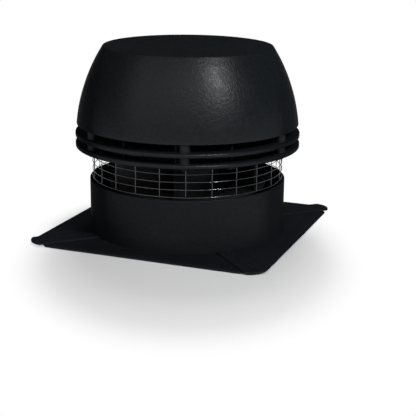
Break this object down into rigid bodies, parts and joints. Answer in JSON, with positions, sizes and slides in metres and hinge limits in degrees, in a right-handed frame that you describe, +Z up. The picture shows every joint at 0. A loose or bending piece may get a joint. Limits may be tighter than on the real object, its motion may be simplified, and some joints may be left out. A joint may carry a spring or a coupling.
{
  "type": "chimney fan",
  "caption": "Chimney-top exhaust fan: square flashing base, round collar, wire guard, two louvre rings, domed motor cover, impeller, and a top that tilts back on a hinge.",
  "frame": {"origin": "centre of the flashing base's underside, on the fan's axis", "axes": "+Z up along the fan's axis; X and Y along the sides of the square base; the hinge is on the +Y side"},
  "size_m": [0.4108, 0.4108, 0.315],
  "materials": {
    "casting_paint": "textured matt powder coat",
    "sheet_paint": "matt",
    "netting_steel": "drawn wire",
    "fastener_steel": "plain",
    "stainless_sheet": "dull",
    "dark_sheet": "matt heat-proof coat",
    "motor_aluminium": "cast",
    "core_steel": "laminated",
    "copper_wire": "varnished copper",
    "damper_rubber": "matt",
    "box_plastic": "matt",
    "case_plastic": "matt"
  },
  "bodies": {
    "base": {"front_plate": "sheet_paint", "right_plate": "sheet_paint", "back_plate": "sheet_paint", "left_plate": "sheet_paint", "front_right_strap": "sheet_paint", "back_right_strap": "sheet_paint", "back_left_strap": "sheet_paint", "front_left_strap": "sheet_paint", "strap_rivets": "sheet_paint", "collar": "casting_paint", "collar_screws": "fastener_steel", "inlet_cone": "stainless_sheet", "inlet_cone_rivets": "fastener_steel", "hinge_bracket": "casting_paint", "hinge_bracket_bolts": "fastener_steel", "hinge_pin": "fastener_steel"},
    "top": {"lower_ring": "casting_paint", "upper_ring": "casting_paint", "lower_pillars": "casting_paint", "upper_pillars": "casting_paint", "dome": "casting_paint", "stack_bolts": "fastener_steel", "motor_plate": "dark_sheet", "motor_plate_screws": "fastener_steel", "heat_shield": "dark_sheet", "shield_spacers": "dark_sheet", "right_post": "dark_sheet", "left_post": "dark_sheet", "front_post": "dark_sheet", "post_screws": "fastener_steel", "guard_hoops": "netting_steel", "guard_uprights": "netting_steel", "guard_clips": "dark_sheet", "clip_screws": "dark_sheet", "hinge_arm": "casting_paint", "hinge_arm_bolts": "fastener_steel", "motor_dampers": "damper_rubber", "damper_bolts": "fastener_steel", "lower_end_cap": "motor_aluminium", "motor_housing": "motor_aluminium", "upper_end_cap": "motor_aluminium", "end_cap_bolts": "fastener_steel", "lower_bearing": "core_steel", "upper_bearing": "core_steel", "stator": "core_steel", "windings": "copper_wire", "terminal_box": "box_plastic", "terminal_box_lid": "box_plastic", "cable_gland": "box_plastic", "capacitor": "case_plastic", "capacitor_clip": "stainless_sheet"},
    "rotor": {"shaft": "fastener_steel", "rotor_core": "core_steel", "cooling_disc": "motor_aluminium", "impeller_hub": "core_steel", "impeller_backplate": "dark_sheet", "impeller_blades": "dark_sheet", "impeller_front_ring": "dark_sheet", "hub_rivets": "fastener_steel", "hub_nut": "fastener_steel"}
  },
  "joints": [
    {"name": "top_tilt", "type": "hinge", "parent": "base", "child": "top", "pos_m": [0, 0.184, 0.1], "axis": [-1, 0, 0], "range_deg": [0, 90]},
    {"name": "impeller_spin", "type": "hinge", "parent": "top", "child": "rotor", "pos_m": [0, 0, 0.12], "axis": [0, 0, 1], "continuous": true}
  ]
}
